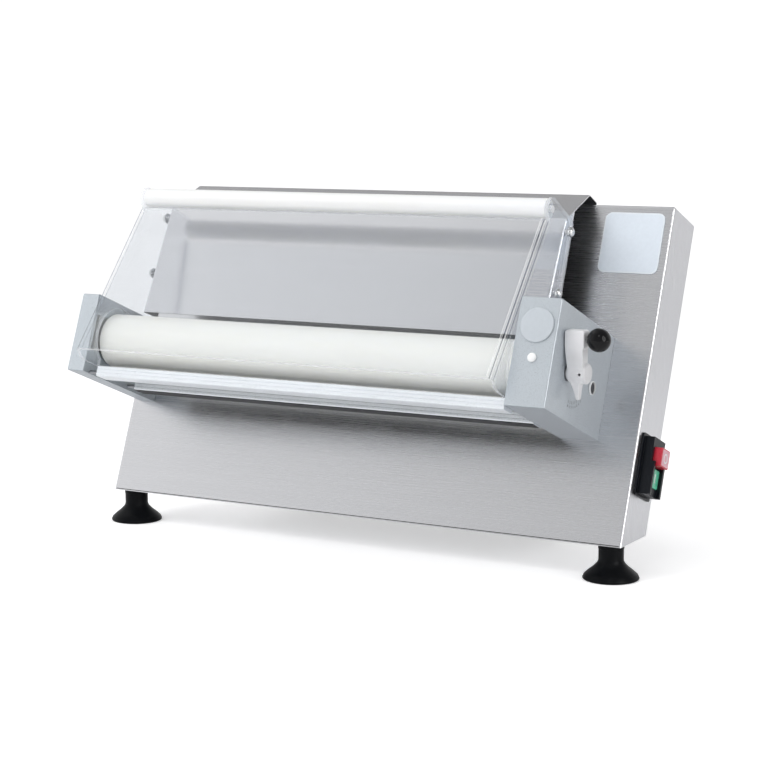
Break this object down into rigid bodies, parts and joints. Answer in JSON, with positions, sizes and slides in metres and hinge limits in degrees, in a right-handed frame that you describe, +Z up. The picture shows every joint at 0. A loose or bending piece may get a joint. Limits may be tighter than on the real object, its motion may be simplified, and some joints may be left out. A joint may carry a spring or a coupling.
{
  "type": "dough sheeter",
  "caption": "Bench dough sheeter: leaning steel cabinet on rubber feet, guarded infeed chute with a rod, geared white rollers between end boxes, side gap lever and switch.",
  "frame": {"origin": "centre of the bounding box in plan, on the plane the feet stand on", "axes": "+X along the rollers to the side with the lever and switch, +Y from the front (guard) to the back (motor housing), +Z up"},
  "size_m": [0.714, 0.364, 0.4143],
  "materials": {
    "cabinet_steel": "brushed",
    "chute_steel": "brushed",
    "housing_steel": "brushed",
    "box_paint": "satin grey paint",
    "plain_steel": "machined",
    "nut_chrome": "polished",
    "guard_acrylic": "clear",
    "white_plastic": "white food-grade plastic",
    "lever_plastic": "pale grey",
    "black_plastic": "black",
    "foot_rubber": "matt black",
    "bronze": "machined bronze",
    "aluminium": "drawn bar",
    "motor_case": "painted die casting",
    "gearbox_case": "painted die casting",
    "stop_plastic": "red",
    "start_plastic": "green",
    "label_pale": "bare pale plate",
    "trim_pale": "pale trim"
  },
  "bodies": {
    "base": {"back_panel": "cabinet_steel", "base_tray": "cabinet_steel", "cabinet_shell": "cabinet_steel", "chute_hood": "chute_steel", "cover_cap": "trim_pale", "cover_disc": "trim_pale", "drive_motor": "motor_case", "foot_front_left": "foot_rubber", "foot_front_right": "foot_rubber", "foot_rear_left": "foot_rubber", "foot_rear_right": "foot_rubber", "front_scraper_bar": "aluminium", "front_scraper_blade": "plain_steel", "gear_bracket": "plain_steel", "gearbox": "gearbox_case", "guard": "guard_acrylic", "guard_nut_left_lower": "nut_chrome", "guard_nut_left_upper": "nut_chrome", "guard_nut_right_lower": "nut_chrome", "guard_nut_right_upper": "nut_chrome", "idler_pin": "plain_steel", "label_plate": "label_pale", "left_bearing_plate": "plain_steel", "left_box_cover": "box_paint", "lever_bush": "bronze", "motor_cradle": "plain_steel", "rear_base_plate": "plain_steel", "rear_bush_left": "bronze", "rear_bush_right": "bronze", "rear_housing": "housing_steel", "rear_scraper_bar": "aluminium", "rear_scraper_blade": "plain_steel", "right_bearing_plate": "plain_steel", "right_box_cover": "box_paint", "shaft_cap": "trim_pale", "switch_housing": "black_plastic"},
    "rear_roller": {"rear_roller": "white_plastic", "rear_roller_shaft": "plain_steel", "rear_roller_gear": "plain_steel"},
    "front_carriage": {"left_bearing_block": "plain_steel", "right_bearing_block": "plain_steel", "front_bush_left": "bronze", "front_bush_right": "bronze", "left_yoke": "plain_steel", "right_yoke": "plain_steel"},
    "front_roller": {"front_roller": "white_plastic", "front_roller_shaft": "plain_steel", "front_roller_gear": "plain_steel"},
    "lever": {"thickness_lever": "lever_plastic", "gap_axle": "plain_steel", "left_eccentric": "bronze", "right_eccentric": "bronze"},
    "plunger": {"plunger_pin": "plain_steel", "ball_knob": "black_plastic"},
    "idler": {"idler_gear": "plain_steel"},
    "drive": {"drive_shaft": "plain_steel", "drive_pinion": "plain_steel"},
    "guard_rod": {"guard_rod": "white_plastic"},
    "stop_button": {"stop_button": "stop_plastic"},
    "start_button": {"start_button": "start_plastic"}
  },
  "joints": [
    {"name": "rear_roller_spin", "type": "hinge", "parent": "base", "child": "rear_roller", "pos_m": [-0.0052, -0.0417, 0.2088], "axis": [1, 0, 0], "continuous": true},
    {"name": "gap_slide", "type": "slide", "parent": "base", "child": "front_carriage", "axis": [0, -0.9317, 0.3633], "range_m": [0, 0.0045]},
    {"name": "front_roller_spin", "type": "hinge", "parent": "front_carriage", "child": "front_roller", "pos_m": [-0.0052, -0.10226, 0.23242], "axis": [1, 0, 0], "continuous": true},
    {"name": "lever_turn", "type": "hinge", "parent": "base", "child": "lever", "pos_m": [0.2881, -0.10436, 0.23323], "axis": [1, 0, 0], "range_deg": [0, 70]},
    {"name": "plunger_pull", "type": "slide", "parent": "lever", "child": "plunger", "axis": [1, 0, 0], "range_m": [0, 0.006], "stiffness_N_per_m": 500},
    {"name": "idler_spin", "type": "hinge", "parent": "base", "child": "idler", "pos_m": [-0.0052, 0.00013, 0.17709], "axis": [1, 0, 0], "continuous": true},
    {"name": "drive_spin", "type": "hinge", "parent": "base", "child": "drive", "pos_m": [-0.0052, 0.01324, 0.14463], "axis": [1, 0, 0], "continuous": true},
    {"name": "guard_rod_spin", "type": "hinge", "parent": "base", "child": "guard_rod", "pos_m": [-0.0052, -0.03579, 0.40152], "axis": [1, 0, 0], "continuous": true},
    {"name": "stop_press", "type": "slide", "parent": "base", "child": "stop_button", "axis": [-1, 0, 0], "range_m": [0, 0.0025], "stiffness_N_per_m": 800},
    {"name": "start_press", "type": "slide", "parent": "base", "child": "start_button", "axis": [-1, 0, 0], "range_m": [0, 0.0025], "stiffness_N_per_m": 800}
  ],
  "couplings": [
    {"joint": "front_roller_spin", "follows": "rear_roller_spin", "ratio": -1},
    {"joint": "idler_spin", "follows": "rear_roller_spin", "ratio": -1.625},
    {"joint": "drive_spin", "follows": "rear_roller_spin", "ratio": 2.1667},
    {"joint": "lever_turn", "follows": "gap_slide", "rad_per_m": 271.47}
  ]
}
